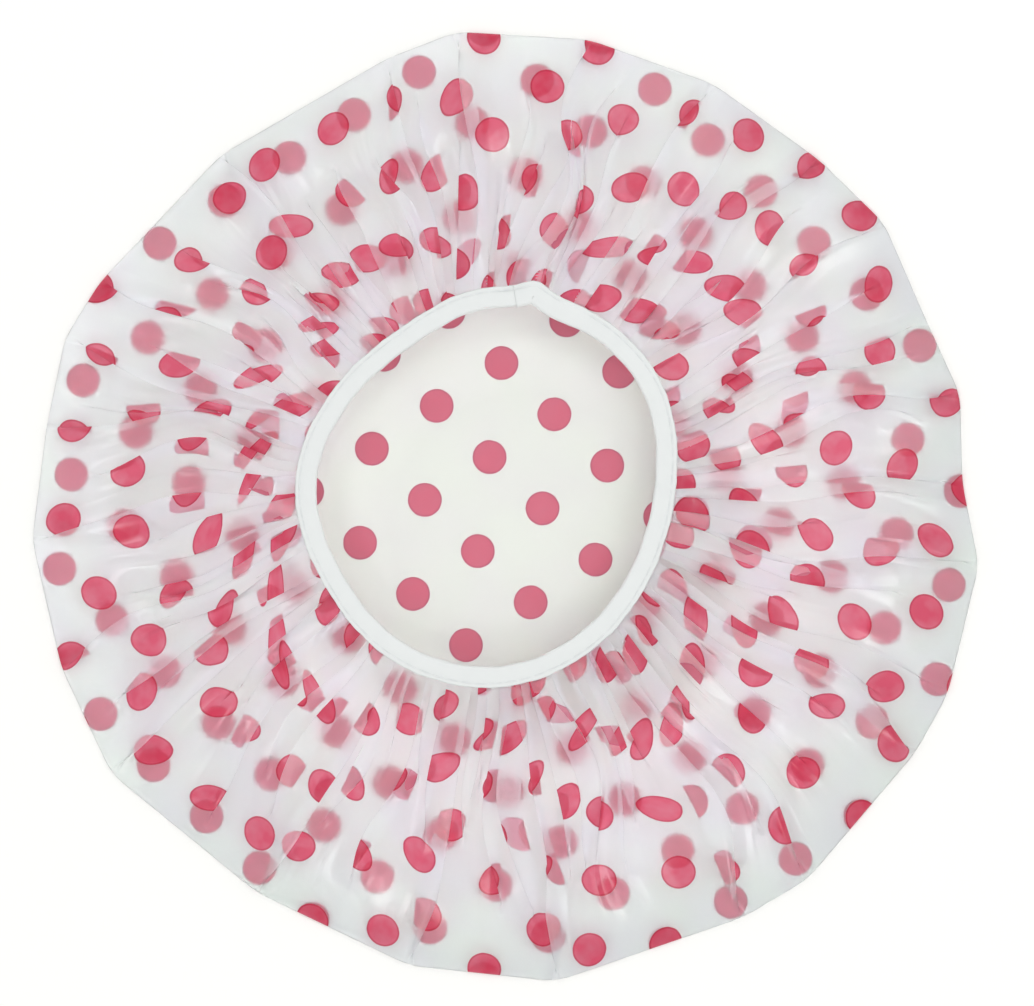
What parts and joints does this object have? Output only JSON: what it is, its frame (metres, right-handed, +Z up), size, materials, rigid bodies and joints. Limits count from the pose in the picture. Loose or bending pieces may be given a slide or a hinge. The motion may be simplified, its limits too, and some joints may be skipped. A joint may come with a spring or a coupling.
{
  "type": "shower cap",
  "caption": "Thin translucent film cap printed with round dots, lying empty with its opening up, pleated all round into a folded tape that holds a flat elastic.",
  "frame": {"origin": "on the surface the cap lies on, under the middle of its outline seen from above", "axes": "+Z up, out of the cap's opening; +X to the right and +Y away from the viewer when the tape's lap is at the far right"},
  "size_m": [0.2798, 0.2806, 0.0182],
  "materials": {
    "film": "translucent film, printed with red-pink dots on its outer face",
    "tape": "smooth white satin tape",
    "elastic": "matt off-white",
    "thread": "white sewing thread"
  },
  "bodies": {
    "root": {"crown_film": "film", "binding_tape": "tape", "elastic_band": "elastic", "needle_thread": "thread", "bobbin_thread": "thread"}
  },
  "joints": []
}
